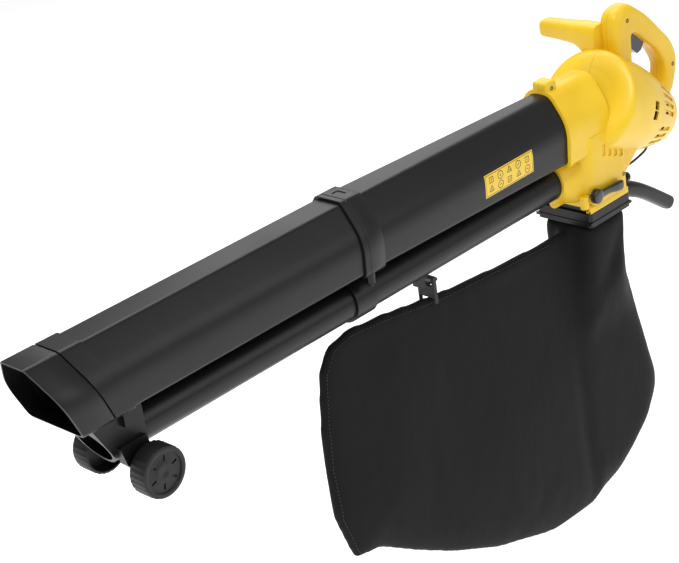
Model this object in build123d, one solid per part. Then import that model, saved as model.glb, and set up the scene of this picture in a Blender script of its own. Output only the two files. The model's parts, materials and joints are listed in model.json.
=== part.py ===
from build123d import *
import os
from math import cos, sin, radians, pi

# Hand-held electric leaf blower and vacuum with a collecting bag.
# X is across the machine, Y runs from the mouth back to the rear grip, Z is up.
# Everything is drawn from the middle of the mouth's top lip and moved to the rear grip at the end.

gripY = 1100.0
gripZ = 30.0

# vacuum tube, a six-sided section with rounded corners
tubeTopHalf = 19.0
tubeTopZ = 43.5
tubeSideHalf = 48.0
tubeSideZ = 2.0
tubeBottomHalf = 45.0
tubeBottomZ = -42.5
tubeWall = 2.2
rearTopHalf = 14.5
rearTopZ = 38.5
rearSideHalf = 41.0
rearSideZ = 0.0
rearBottomHalf = 37.5
rearBottomZ = -53.5
mouthSlope = 0.415
seamTopY = 44.0
seamSlope = 0.395
bandFrontY = 460.0
bandRearY = 494.0
tubeJoinY = 478.0
tubeEndY = 854.0
tubeHiddenEnd = 24.0
lugX = 36.0
lugLowZ = -60.0

# blow tube, round, under the vacuum tube
blowRadius = 24.0
blowZ = -86.0
blowWall = 2.0
blowTopY = 64.0
blowSlope = 0.52
nozzleRearY = 128.0

# wheels on the nozzle
wheelRadius = 30.0
wheelWidth = 24.0
wheelInnerX = 36.6
wheelY = 117.0
wheelZ = -122.0
axleRadius = 4.0
wheelBore = 4.05

# fan casing and motor cone, on an axis that leans down towards the back
fanY = 944.0
fanZ = 0.5
fanTilt = 27.0
shellWall = 3.0
rimNear = 71.5
rimFar = 66.0
rimAt = 14.5
coneEndAt = 163.5
coneEndRadius = 41.3
coneBulge = 6.0
plateAt = 46.0
impellerRadius = 50.0
shaftRadius = 4.0

# lower body and its bag tray
bodyHalf = 45.0
bodyFrontY = 882.0
bodyRearY = 967.0
bodyFloorZ = -126.0
railDepth = 8.0
trayTopZ = -134.5
trayBottomZ = -154.0
throatHalf = 30.0
throatFrontY = 902.0
throatRearY = 938.0

# selector
selectorY = 893.0
selectorZ = -110.0
selectorShaftRadius = 5.0
flapLength = 44.0

# trigger
triggerY = 1055.0
triggerZ = 47.0
triggerTilt = 36.25

# bag catch and the lead to the bag switch
catchX = 35.0
catchZ = -117.0
leadX = 10.0
leadStartY = 1063.0
leadEndZ = -112.0

# handles
handleHalf = 16.0
barEndX = -104.0
barY = 998.0
barZ = 70.0


def atY(y):
    # sketch plane across the machine: local x is X, local y is Z
    return Plane(origin=(0, y, 0), x_dir=(1, 0, 0), z_dir=(0, -1, 0))


def sidePlate(points, x0, x1, rounding=0):
    # outline in Y and Z, made solid from x0 to x1
    outline = make_face(Polyline(*points, close=True))
    if rounding:
        outline = fillet(outline.vertices(), rounding)
    return extrude(Plane.YZ.offset(x0) * outline, amount=x1 - x0)


def rodX(radius, x0, x1, y, z):
    return Pos((x0 + x1) / 2, y, z) * Rot(0, 90, 0) * Cylinder(radius, x1 - x0)


def rodY(radius, y0, y1, x, z):
    return Pos(x, (y0 + y1) / 2, z) * Rot(-90, 0, 0) * Cylinder(radius, y1 - y0)


def rodZ(radius, z0, z1, x, y):
    return Pos(x, y, (z0 + z1) / 2) * Cylinder(radius, z1 - z0)


def coneX(radius0, radius1, x0, x1, y, z):
    return Pos((x0 + x1) / 2, y, z) * Rot(0, 90, 0) * Cone(radius0, radius1, x1 - x0)


fanPlane = Plane(origin=(0, fanY, fanZ), x_dir=(1, 0, 0),
                 z_dir=(0, cos(radians(fanTilt)), -sin(radians(fanTilt))))


def onFanAxis(shape):
    # local Z runs back along the fan axis, local Y points down
    return fanPlane.location * shape


def rodFan(radius, s0, s1, x=0, y=0):
    return onFanAxis(Pos(x, y, (s0 + s1) / 2) * Cylinder(radius, s1 - s0))


def block(x0, x1, y0, y1, z0, z1):
    centre = Pos((x0 + x1) / 2, (y0 + y1) / 2, (z0 + z1) / 2)
    return centre * Box(abs(x1 - x0), abs(y1 - y0), abs(z1 - z0))


def roundBlock(x0, x1, y0, y1, z0, z1, radius, axis=Axis.Z):
    solid = block(x0, x1, y0, y1, z0, z1)
    return fillet(solid.edges().filter_by(axis), radius)


def tubeFace(y, blend, grow):
    # the tube's section at y; blend runs from 0 at the joint band to 1 at the housing
    topHalf = tubeTopHalf + blend * (rearTopHalf - tubeTopHalf) + 0.6 * grow
    topZ = tubeTopZ + blend * (rearTopZ - tubeTopZ) + grow
    sideHalf = tubeSideHalf + blend * (rearSideHalf - tubeSideHalf) + 1.1 * grow
    sideZ = tubeSideZ + blend * (rearSideZ - tubeSideZ)
    bottomHalf = tubeBottomHalf + blend * (rearBottomHalf - tubeBottomHalf) + grow
    bottomZ = tubeBottomZ + blend * (rearBottomZ - tubeBottomZ) - grow
    points = [(-bottomHalf, bottomZ), (bottomHalf, bottomZ), (sideHalf, sideZ)]
    points += [(topHalf, topZ), (-topHalf, topZ), (-sideHalf, sideZ)]
    outline = make_face(Polyline(*points, close=True))
    sideRound = 22 + 26 * blend + grow
    topRound = 7 + 13 * blend + 0.4 * grow
    for z, rounding in ((sideZ, sideRound), (topZ, topRound), (bottomZ, 7 + grow)):
        outline = fillet(outline.vertices().filter_by_position(Axis.Y, z - 1, z + 1), rounding)
    return atY(y) * outline


def tubeSolid(y0, y1, blend0, blend1, grow):
    if blend0 == blend1:
        return extrude(tubeFace(y0, blend0, grow), amount=-(y1 - y0))
    return loft([tubeFace(y0, blend0, grow), tubeFace(y1, blend1, grow)])


def blendAt(y):
    return (y - bandRearY) / (tubeEndY - bandRearY)


def slantCut(topY, slope, topZ, behind):
    # a block in front of (or behind) a plane that leans back as it goes down
    high = 100
    low = -260
    reach = 400 if behind else -400
    frontHigh = topY - slope * (high - topZ)
    frontLow = topY - slope * (low - topZ)
    points = [(frontHigh, high), (frontLow, low), (frontLow + reach, low), (frontHigh + reach, high)]
    return sidePlate(points, -90, 90)


# ---- tubes ----

def makeNozzleCap():
    outer = tubeSolid(-30, 110, 0, 0, tubeWall)
    inner = tubeSolid(-40, 120, 0, 0, 0)
    shell = outer - inner
    shell -= slantCut(0, mouthSlope, tubeTopZ, False)
    shell -= slantCut(seamTopY, seamSlope, tubeTopZ, True)
    return shell


def makeLowerVacTube():
    shell = tubeSolid(10, tubeJoinY, 0, 0, 0) - tubeSolid(0, tubeJoinY + 10, 0, 0, -tubeWall)
    shell -= slantCut(seamTopY - 18, seamSlope, tubeTopZ, False)
    shell -= block(-8, 8, 470.5, 484.5, 30, 60)
    return shell


def makeUpperVacTube():
    band = tubeSolid(bandFrontY, bandRearY, 0, 0, 3.4)
    band = chamfer(band.edges().group_by(Axis.Y)[0], 0.8)
    barrel = tubeSolid(bandRearY, tubeEndY, 0, 1, 0)
    tail = tubeSolid(tubeEndY, tubeEndY + tubeHiddenEnd, 1, 1, 0)
    bore = tubeSolid(bandRearY - 1, tubeEndY, blendAt(bandRearY - 1), 1, -tubeWall)
    bore += tubeSolid(tubeEndY, tubeEndY + tubeHiddenEnd + 5, 1, 1, -tubeWall)
    lugs = [rodZ(5.5, lugLowZ, tubeBottomZ - 2, side * lugX, bandFrontY + 17) for side in (-1, 1)]
    shell = band + barrel + tail + lugs - bore
    shell -= tubeSolid(bandFrontY - 5, tubeJoinY, 0, 0, 0)
    shell -= tubeSolid(tubeJoinY, bandRearY - 1, 0, 0, -tubeWall)
    shell -= block(-7.5, 7.5, 474, 485, 30, 60)
    return shell


def makeTubeCatch():
    button = roundBlock(-7, 7, 474.6, 484.4, 39.5, 46, 2)
    base = block(-9.5, 9.5, 468, 477.4, 39.5, 41)
    return button + base


def web(y0, y1, keepOut):
    strip = block(-4, 4, y0, y1, blowZ + blowRadius - 3, tubeBottomZ + 5)
    return strip - keepOut


def makeLowerBlowTube():
    keepOut = tubeSolid(40, tubeJoinY + 2, 0, 0, 0)
    keepOut += tubeSolid(bandFrontY, bandRearY, 0, 0, 3.4)
    pipe = rodY(blowRadius, nozzleRearY - 20, tubeJoinY, 0, blowZ)
    solid = pipe + web(nozzleRearY, bandFrontY, keepOut)
    return solid - rodY(blowRadius - blowWall, 90, tubeJoinY + 5, 0, blowZ)


def makeUpperBlowTube():
    keepOut = tubeSolid(bandFrontY, bandRearY, 0, 0, 3.4)
    keepOut += tubeSolid(bandRearY, tubeEndY + 2, 0, blendAt(tubeEndY + 2), 0)
    socket = rodY(blowRadius + 3, bandFrontY, bandRearY, 0, blowZ)
    pipe = rodY(blowRadius, bandRearY - 1, tubeEndY + tubeHiddenEnd, 0, blowZ)
    solid = socket + pipe + web(bandRearY, tubeEndY - 12, keepOut)
    solid -= rodY(blowRadius - blowWall, tubeJoinY - 1, tubeEndY + 60, 0, blowZ)
    solid -= rodY(blowRadius, bandFrontY - 5, tubeJoinY, 0, blowZ)
    return solid


def makeTubeScrews():
    screws = []
    for side in (-1, 1):
        screws.append(rodZ(4, lugLowZ - 2.4, lugLowZ, side * lugX, bandFrontY + 17))
    return screws


def makeBlowNozzle():
    outer = rodY(blowRadius + 2.4, 40, nozzleRearY, 0, blowZ)
    outer += block(-blowRadius - 2.4, blowRadius + 2.4, 60, nozzleRearY, blowZ, tubeBottomZ - tubeWall)
    outer += block(-blowRadius - 9, blowRadius + 9, 98, nozzleRearY - 6, -66, tubeBottomZ - tubeWall)
    for side in (-1, 1):
        fin = [(86, blowZ), (92, -110), (109, wheelZ - 7), (117, wheelZ - 10), (125, wheelZ - 7)]
        fin += [(128, wheelZ), (124, blowZ)]
        outer += Pos(side * 26 - 6, 0, 0) * sidePlate(fin, 0, 12, 2)
    outer -= slantCut(blowTopY, blowSlope, blowZ + blowRadius, False)
    outer -= rodY(blowRadius - 1, 30, nozzleRearY + 5, 0, blowZ)
    outer -= rodY(blowRadius, nozzleRearY - 20, nozzleRearY + 5, 0, blowZ)
    outer -= rodX(axleRadius, -60, 60, wheelY, wheelZ)
    return outer


# ---- wheels ----

def makeWheelAxle():
    return rodX(axleRadius, -58, 58, wheelY, wheelZ)


def makeWheel(side):
    tread = rodX(wheelRadius, wheelInnerX, wheelInnerX + wheelWidth, wheelY, wheelZ)
    tread = fillet(tread.edges(), 2.5)
    ribs = 24
    for i in range(ribs):
        angle = radians(i * 360 / ribs)
        y = wheelY + (wheelRadius + 0.6) * cos(angle)
        z = wheelZ + (wheelRadius + 0.6) * sin(angle)
        tread -= rodX(1.6, wheelInnerX - 1, wheelInnerX + wheelWidth - 4, y, z)
    hollow = rodX(wheelRadius - 3, wheelInnerX - 1, wheelInnerX + wheelWidth - 5, wheelY, wheelZ)
    hub = rodX(9, wheelInnerX - 1, wheelInnerX + wheelWidth - 4, wheelY, wheelZ)
    tread -= hollow - hub
    outerX = wheelInnerX + wheelWidth
    tread -= rodX(wheelRadius - 6, outerX - 1.5, outerX + 1, wheelY, wheelZ)
    tread -= rodX(7, outerX - 5.5, outerX + 1, wheelY, wheelZ)
    tread -= rodX(wheelBore, 0, 80, wheelY, wheelZ)
    if side < 0:
        tread = mirror(tread, Plane.YZ)
    return tread


def makeAxleClips():
    clips = []
    for side in (-1, 1):
        x0 = wheelInnerX + wheelWidth - 5
        ring = rodX(6.4, x0, x0 + 1.2, wheelY, wheelZ) - rodX(axleRadius, x0 - 1, x0 + 3, wheelY, wheelZ)
        clips.append(ring if side > 0 else mirror(ring, Plane.YZ))
    return clips


# ---- housing ----

def volute(s, near, far):
    # the casing's section: it grows from the far side over the top to the near side and down
    points = []
    for turn in range(-180, 180, 30):
        share = (180 - turn) / 180 if turn >= -90 else (turn + 180) / 60
        radius = far + share * (near - far)
        points.append((radius * cos(radians(turn)), -radius * sin(radians(turn))))
    return fanPlane.offset(s) * make_face(Spline(*points, periodic=True))


def coneAt(s, start, end):
    # a cone that swells between its ends
    share = (s - rimAt) / (coneEndAt - rimAt)
    return start + share * (end - start) + coneBulge * sin(pi * share)


def coneSections(wall, last):
    # sections from the rim to the cone's end, a wall's thickness in
    sections = []
    for i in range(7):
        s = rimAt + (last - rimAt) * i / 6
        near = coneAt(s, rimNear, coneEndRadius)
        far = coneAt(s, rimFar, coneEndRadius)
        sections.append(volute(s, near - wall, far - wall))
    return sections


def makeCasing():
    sections = [volute(-6, 52, 50), volute(0, 61, 57), volute(7, 69, 63.5), volute(rimAt, rimNear, rimFar)]
    front = loft(sections, ruled=True)
    end = volute(coneEndAt, coneEndRadius, coneEndRadius)
    tip = loft([end, volute(coneEndAt + 5, 35, 35)], ruled=True)
    return front + loft(coneSections(0, coneEndAt), ruled=True) + tip


def makeCasingRoom():
    wide = volute(rimAt, rimNear - shellWall, rimFar - shellWall)
    front = loft([volute(9, 66, 60), wide], ruled=True)
    return front + loft(coneSections(shellWall, coneEndAt - 1), ruled=True)


def makeHandle():
    outer = [(1004, 10), (1003, 86), (1014, 101), (1037, 104), (1056, 92), (1076, 76), (1104, 50)]
    outer += [(1128, 24), (1138, 0), (1134, -22), (1120, -52), (1085, -56), (1010, -20)]
    inner = [(1040, 58), (1072, 39), (1098, 16), (1108, -10), (1102, -34), (1080, -40), (1040, 2)]
    solid = sidePlate(outer, -handleHalf, handleHalf, 6)
    ends = solid.edges().group_by(Axis.X)
    return fillet(ends[0] + ends[-1], 6) - sidePlate(inner, -30, 30, 6)


def makeLowerBody():
    body = roundBlock(-bodyHalf, bodyHalf, bodyFrontY, bodyRearY, bodyFloorZ, -34, 5)
    body += sidePlate([(950, -50), (1012, -72), (966, -112)], -40, 40)
    body += rodY(blowRadius + 4, tubeEndY, bodyFrontY + 2, 0, blowZ)
    body += block(-18, 18, tubeEndY + 4, bodyFrontY + 2, blowZ, rearBottomZ)
    body += rodY(7, 862, 884, 0, -119)
    body += rodZ(6, bodyFloorZ, -108, bodyHalf - 7, bodyFrontY - 1)
    railZ = bodyFloorZ - railDepth
    for side in (-1, 1):
        body += block(side * 40.5, side * 45, bodyFrontY + 2, bodyRearY, railZ, bodyFloorZ + 1)
        body += block(side * 36.5, side * 45, bodyFrontY + 2, bodyRearY, railZ, railZ + 3.5)
    return body


def housingOuter():
    duct = tubeSolid(tubeEndY, 990, 1, 1, 4) & rodFan(120, -140, 6)
    collar = tubeSolid(tubeEndY, tubeEndY + 8, 1, 1, 5)
    boss = roundBlock(-12, 12, tubeEndY, 876, 36, 54, 4)
    return duct + collar + boss + makeCasing() + makeLowerBody() + makeHandle()


def housingCavity():
    duct = tubeSolid(tubeEndY - 1, 990, 1, 1, 0) & rodFan(120, -140, 2)
    eye = rodFan(32, -4, 12)
    chamber = block(-bodyHalf + 4, bodyHalf - 4, bodyFrontY + 4, bodyRearY - 4, bodyFloorZ + 3, -64)
    throat = block(-throatHalf, throatHalf, throatFrontY, throatRearY, bodyFloorZ - 1, bodyFloorZ + 4)
    exitBore = rodY(blowRadius - blowWall, tubeEndY, bodyFrontY + 6, 0, blowZ)
    exitSocket = rodY(blowRadius, tubeEndY - 1, tubeEndY + tubeHiddenEnd, 0, blowZ)
    shaftHole = rodX(selectorShaftRadius + 0.05, -60, 60, selectorY, selectorZ)
    return makeCasingRoom() + duct + eye + chamber + throat + exitBore + exitSocket + shaftHole


def handleRoom():
    grip = [(1020, 88), (1040, 92), (1072, 69), (1098, 46), (1112, 31), (1101, 21)]
    grip += [(1075, 45), (1044, 69), (1020, 69)]
    return sidePlate(grip, -handleHalf + 3, handleHalf - 3, 1)


def triggerSlot():
    return onTrigger(block(-6.8, 6.8, -11.4, 20.4, -8, 17) + block(-8.4, 8.4, -14.4, 17.4, 7, 22))


def ventSlots():
    # two windows beside the brushes, and a ring of long slots at the cone's end
    slots = []
    for turn in (-4, 11):
        window = Pos(62, 0, 83) * Box(24, 14.6, 12)
        slots.append(onFanAxis(Rot(0, 0, -turn) * window))
    for turn in range(-60, 241, 12):
        slot = Pos(51, 0, 123) * Rot(0, -14, 0) * Box(10, 5, 36)
        slots.append(onFanAxis(Rot(0, 0, -turn) * slot))
    return slots


def makeHousing():
    whole = housingOuter() - housingCavity()
    whole -= handleRoom()
    whole -= triggerSlot()
    whole -= ventSlots()
    whole -= [rodX(3.6, x - 2.5, x + 20, y, z) for x, y, z in screwPlaces()]
    for i in range(4):
        y = 917 + i * 12
        whole -= block(bodyHalf - 1.5, bodyHalf + 2, y, y + 7, -64 - i * 4.4, -50 - i * 4.4)
    whole -= rodY(5.4, bodyRearY - 6, bodyRearY + 2, catchX, catchZ)
    whole -= rodY(1.8, bodyRearY - 6, bodyRearY + 60, leadX, leadEndZ)
    whole -= rodZ(1.8, -112, -90, leadX, leadStartY)
    whole -= rodFan(9.05, coneEndAt - 6, coneEndAt + 10, 0, 14)
    right = whole & block(0, 80, 800, 1200, -200, 150)
    left = whole & block(-80, 0, 800, 1200, -200, 150)
    return left, right


def screwPlaces():
    # x is where the head seats: on the collar boss, the handle's top, its grip and the lower body
    places = [(12, 865, 45), (handleHalf, 1028, 84), (handleHalf, 1124, -8)]
    places += [(bodyHalf, bodyRearY - 8, -104)]
    return places


def makeFrontHandle():
    root = roundBlock(-34, -handleHalf - 0.1, barY - 17, barY + 15, barZ - 24, barZ + 16, 6, Axis.X)
    start = Plane.YZ.offset(-30) * Pos(barY, barZ) * RectangleRounded(30, 31, 9)
    end = Plane.YZ.offset(barEndX) * Pos(barY, barZ + 1) * RectangleRounded(24, 24, 8)
    bar = loft([start, end])
    bar = fillet(bar.edges().group_by(Axis.X)[0], 5)
    return root + bar - makeCasing()


# ---- motor and fan, drawn along the fan axis ----

def makeImpeller():
    solid = Pos(0, 0, plateAt - 4.5) * Cylinder(impellerRadius, 3)
    solid += Pos(0, 0, 27.5) * Cylinder(11, 31)
    for i in range(12):
        solid += Rot(0, 0, i * 30) * Pos(30, 0, 29) * Rot(0, 0, 20) * Box(39, 2.4, 26)
    return onFanAxis(solid - Cylinder(shaftRadius, 200))


def makeImpellerNut():
    nut = Pos(0, 0, 9) * extrude(RegularPolygon(7, 6), amount=2.5, both=True)
    return onFanAxis(nut - Cylinder(shaftRadius, 60))


def makeMotorShaft():
    return rodFan(shaftRadius, 4, 135)


def makeMotorPlate():
    near = coneAt(plateAt, rimNear, coneEndRadius) - shellWall - 1.2
    far = coneAt(plateAt, rimFar, coneEndRadius) - shellWall - 1.2
    plate = extrude(volute(plateAt, near, far), amount=4)
    boss = rodFan(15, plateAt + 3, plateAt + 12)
    solid = plate + boss - rodFan(11, plateAt + 4, plateAt + 14)
    return solid - rodFan(6, plateAt - 5, plateAt + 20)


def bearing(outerRadius, s0, s1):
    return rodFan(outerRadius, s0, s1) - rodFan(shaftRadius + 0.05, s0 - 1, s1 + 1)


def makeCoolingFan():
    fan = Pos(0, 0, 61) * Cylinder(36, 2) + Pos(0, 0, 63.5) * Cylinder(9, 7)
    for i in range(14):
        fan += Rot(0, 0, i * 360 / 14) * Pos(23, 0, 64.5) * Box(22, 1.6, 6)
    return onFanAxis(fan - Cylinder(shaftRadius, 200))


def makeStator():
    ring = Pos(0, 0, 91) * Cylinder(37, 34) - Pos(0, 0, 91) * Cylinder(22.5, 40)
    for side in (-1, 1):
        ring -= Pos(0, side * 38, 91) * Box(80, 8, 40)
    return onFanAxis(ring)


def makeArmature():
    core = Pos(0, 0, 91) * Cylinder(21.8, 30)
    for i in range(12):
        core -= Rot(0, 0, i * 30) * Pos(21, 0, 91) * Cylinder(1.6, 40)
    return onFanAxis(core - Cylinder(shaftRadius, 300))


def makeCommutator():
    core = Pos(0, 0, 115) * Cylinder(11, 10)
    for i in range(12):
        core -= Rot(0, 0, i * 30) * Pos(11, 0, 115) * Box(1.2, 0.8, 12)
    return onFanAxis(core - Cylinder(shaftRadius, 300))


def makeBrushHolders():
    return [onFanAxis(Pos(side * 21.6, 0, 115) * Box(20, 10, 7)) for side in (-1, 1)]


def makeBearingBridge():
    bar = Pos(0, 0, 129.5) * Box(80, 24, 7)
    return onFanAxis(bar - Pos(0, 0, 129.5) * Cylinder(9, 20))


# ---- controls ----

def onTrigger(shape):
    # local Y runs down the grip's inner face, local Z into the grip
    return Pos(0, triggerY, triggerZ) * Rot(-triggerTilt, 0, 0) * shape


def makeTrigger():
    outline = [(-11, 10), (20, 10), (20, -7), (14, -14), (-2, -13), (-11, -6)]
    flange = block(-8, 8, -14, 17, 9, 13)
    return onTrigger(sidePlate(outline, -6.5, 6.5, 1.5) + flange)


def makeTriggerSpring():
    # drawn at its pressed length
    return onTrigger(Pos(0, -6, 23) * (Cylinder(3.4, 7.4) - Cylinder(2.2, 20)))


def makeSwitchModule():
    return Pos(0, 1093, 39) * Rot(-47.3, 0, 0) * Box(16, 16, 13)


def makePowerInlet():
    body = rodFan(9, coneEndAt - 5, coneEndAt + 5, 0, 14) + rodFan(12, coneEndAt + 5, coneEndAt + 9, 0, 14)
    return body - rodFan(6.5, coneEndAt - 2, coneEndAt + 20, 0, 14)


def makeSelectorShaft():
    return rodX(selectorShaftRadius, -46, bodyHalf + 7, selectorY, selectorZ)


def makeSelectorLever():
    hub = rodX(10, bodyHalf + 0.6, bodyHalf + 9, selectorY, selectorZ)
    hub = fillet(hub.edges().group_by(Axis.X)[-1], 2)
    arm = [(selectorY - 5, selectorZ + 7), (selectorY + 52, selectorZ + 3), (selectorY + 56, selectorZ - 4)]
    arm += [(selectorY + 52, selectorZ - 10), (selectorY - 4, selectorZ - 7)]
    solid = hub + sidePlate(arm, bodyHalf + 2, bodyHalf + 8, 2)
    return solid - rodX(selectorShaftRadius, 0, bodyHalf + 7, selectorY, selectorZ)


def makeDiverterFlap():
    sleeve = rodX(6.5, -39.5, 39.5, selectorY, selectorZ)
    plate = block(-39.5, 39.5, selectorY - 1.5, selectorY + 1.5, selectorZ + 6, selectorZ + flapLength)
    return sleeve + plate - rodX(selectorShaftRadius, -60, 60, selectorY, selectorZ)


def makeCatchButton():
    cap = rodY(6.4, bodyRearY + 6, bodyRearY + 13, catchX, catchZ)
    stem = rodY(5.3, bodyRearY - 12, bodyRearY + 7, catchX, catchZ)
    return fillet(cap.edges().group_by(Axis.Y)[-1], 1.5) + stem


def makeCatchSpring():
    # drawn at its pressed length
    coil = rodY(4, bodyRearY - 28, bodyRearY - 16.2, catchX, catchZ)
    return coil - rodY(2.5, bodyRearY - 30, bodyRearY, catchX, catchZ)


def makeInterlockSwitch():
    return block(leadX - 9, leadX + 9, bodyRearY - 16, bodyRearY - 4.1, leadEndZ - 7, leadEndZ + 7)


# ---- bag ----

def makeBagFrame():
    flange = block(-40, 40, bodyFrontY + 4, bodyRearY + 1, bodyFloorZ - 4, bodyFloorZ - 0.5)
    neck = block(-36, 36, bodyFrontY + 4, bodyRearY + 1, trayTopZ - 1, bodyFloorZ - 3)
    collar = roundBlock(-bodyHalf, bodyHalf, bodyFrontY, bodyRearY + 4, trayBottomZ, trayTopZ, 6)
    ridge = block(-bodyHalf - 1.2, bodyHalf + 1.2, bodyFrontY - 1.2, bodyRearY + 4, -150, -146.5)
    throat = block(-throatHalf, throatHalf, throatFrontY, throatRearY + 14, trayBottomZ - 2, bodyFloorZ + 1)
    return flange + neck + collar + ridge - throat


def makeBagHandle():
    top = [(bodyRearY + 4.1, -140), (1010, -142), (1042, -155), (1078, -176), (1112, -202)]
    low = [(1104, -220), (1068, -198), (1034, -178), (1004, -166), (bodyRearY + 4.1, -164)]
    arm = sidePlate(top + low, -13, 13, 3)
    lowerTop = [(bodyRearY + 8, -148), (1008, -150), (1038, -162), (1074, -183), (1114, -212)]
    lowerLow = [(1110, -240), (1060, -215), (1000, -190), (bodyRearY + 8, -180)]
    return arm - sidePlate(lowerTop + lowerLow, -9.5, 9.5) - makeBagFrame()


def makeBag():
    outline = [(868, -178), (786, -168), (700, -160), (640, -152), (596, -140), (520, -128)]
    outline += [(462, -122), (425, -130), (405, -160), (396, -225), (392, -285), (396, -362)]
    outline += [(420, -430), (456, -432), (534, -484)]
    outline += [(600, -522), (688, -564), (793, -597), (885, -602), (960, -578), (1028, -524), (1057, -485)]
    outline += [(1060, -452), (1046, -412), (1030, -350), (1012, -280), (996, -225), (976, -178)]
    sheet = sidePlate(outline, -12, 12, 0)
    top = Plane.XY.offset(trayBottomZ - 0.1) * Pos(0, 926) * RectangleRounded(84, 86, 6)
    low = Plane.XY.offset(trayBottomZ - 130) * Pos(0, 930) * RectangleRounded(26, 104, 6)
    return sheet + loft([top, low])


def makeBagStrap():
    solid = block(-14, 14, 604, 609, -150, -113.5)
    solid -= block(-10, 10, 600, 612, -127, -116.5)
    return solid - makeBag()


def makeStrapHook():
    pad = block(-9, 9, 586, 600, blowZ - blowRadius - 3, blowZ - 12) - rodY(blowRadius, 560, 640, 0, blowZ)
    stem = block(-8, 8, 590, 596, -123.5, blowZ - blowRadius - 1)
    tongue = block(-8, 8, 590, 618, -123.5, -120)
    return pad + stem + tongue


# ---- trim ----

def makeLabel():
    skin = tubeSolid(bandRearY, tubeEndY, 0, 1, 0.5) - tubeSolid(bandRearY, tubeEndY, 0, 1, 0)
    return skin & block(20, 80, 685, 781, -34, -3)


def makeHousingScrews():
    return [rodX(3.5, x - 2.5, x - 0.5, y, z) for x, y, z in screwPlaces()]


def makeInterlockLead():
    points = [(leadX, leadStartY, -100), (leadX, leadStartY, -111), (leadX, 1045, -116), (leadX, 1026, -119)]
    points += [(leadX, 1006, -119.6), (leadX, 986, -116.5), (leadX, 974, leadEndZ)]
    points += [(leadX, bodyRearY - 4, leadEndZ)]
    path = FilletPolyline(*points, radius=[5, 30, 60, 60, 20, 8])
    start = Plane(origin=path @ 0, z_dir=path % 0)
    return sweep(start * Circle(1.7), path=path)


def save(name, shape):
    solids = shape if isinstance(shape, list) else [shape]
    moved = [Pos(0, -gripY, -gripZ) * solid for solid in solids]
    whole = moved[0] if len(moved) == 1 else Compound(children=moved)
    export_step(whole, "parts/" + name + ".step")


os.makedirs("parts", exist_ok=True)
housingLeft, housingRight = makeHousing()
nodes = {
    "nozzle_cap": makeNozzleCap(),
    "lower_vac_tube": makeLowerVacTube(),
    "upper_vac_tube": makeUpperVacTube(),
    "tube_catch": makeTubeCatch(),
    "lower_blow_tube": makeLowerBlowTube(),
    "upper_blow_tube": makeUpperBlowTube(),
    "tube_screws": makeTubeScrews(),
    "blow_nozzle": makeBlowNozzle(),
    "wheel_axle": makeWheelAxle(),
    "wheel_right": makeWheel(1),
    "wheel_left": makeWheel(-1),
    "axle_clips": makeAxleClips(),
    "housing_left": housingLeft,
    "housing_right": housingRight,
    "motor_plate": makeMotorPlate(),
    "front_handle": makeFrontHandle(),
    "impeller": makeImpeller(),
    "impeller_nut": makeImpellerNut(),
    "motor_shaft": makeMotorShaft(),
    "front_bearing": bearing(11, plateAt + 4, plateAt + 12),
    "rear_bearing": bearing(9, 126, 133),
    "cooling_fan": makeCoolingFan(),
    "stator": makeStator(),
    "armature": makeArmature(),
    "commutator": makeCommutator(),
    "brush_holders": makeBrushHolders(),
    "bearing_bridge": makeBearingBridge(),
    "trigger": makeTrigger(),
    "trigger_spring": makeTriggerSpring(),
    "switch_module": makeSwitchModule(),
    "power_inlet": makePowerInlet(),
    "selector_shaft": makeSelectorShaft(),
    "selector_lever": makeSelectorLever(),
    "diverter_flap": makeDiverterFlap(),
    "catch_button": makeCatchButton(),
    "catch_spring": makeCatchSpring(),
    "interlock_switch": makeInterlockSwitch(),
    "interlock_lead": makeInterlockLead(),
    "bag_frame": makeBagFrame(),
    "bag_handle": makeBagHandle(),
    "bag": makeBag(),
    "bag_strap": makeBagStrap(),
    "strap_hook": makeStrapHook(),
    "label": makeLabel(),
    "housing_screws": makeHousingScrews(),
}
for name, shape in nodes.items():
    save(name, shape)
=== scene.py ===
import bpy, bmesh, json, math
from mathutils import Vector, Matrix


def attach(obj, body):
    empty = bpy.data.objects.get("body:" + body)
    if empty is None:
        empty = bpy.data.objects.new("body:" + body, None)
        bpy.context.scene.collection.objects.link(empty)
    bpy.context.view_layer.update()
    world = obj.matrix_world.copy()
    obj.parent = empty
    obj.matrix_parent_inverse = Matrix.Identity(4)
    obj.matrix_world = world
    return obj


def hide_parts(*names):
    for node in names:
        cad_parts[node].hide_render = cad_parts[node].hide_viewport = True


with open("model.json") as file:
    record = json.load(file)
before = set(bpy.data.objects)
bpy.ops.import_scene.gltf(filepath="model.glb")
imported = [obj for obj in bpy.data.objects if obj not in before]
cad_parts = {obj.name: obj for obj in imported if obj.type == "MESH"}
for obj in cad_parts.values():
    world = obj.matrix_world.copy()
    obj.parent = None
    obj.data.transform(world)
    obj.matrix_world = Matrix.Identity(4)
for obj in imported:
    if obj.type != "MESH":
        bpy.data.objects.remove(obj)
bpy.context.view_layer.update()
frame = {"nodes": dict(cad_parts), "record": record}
nodes = frame["nodes"]
print("frame loaded:", len(nodes), "parts")

# lengths below are millimetres from the suction mouth's top lip; spot() takes them to the frame
gripOffset = (0, 1100, 30)


def spot(x, y, z):
    return Vector(((x - gripOffset[0]) / 1000, (y - gripOffset[1]) / 1000, (z - gripOffset[2]) / 1000))


# camera, light and floor
camera = {"lens": 99.78, "place": (1.47255, -2.00567, 0.84693), "around": 47.14, "above": 24.99, "roll": -8.14}


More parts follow.
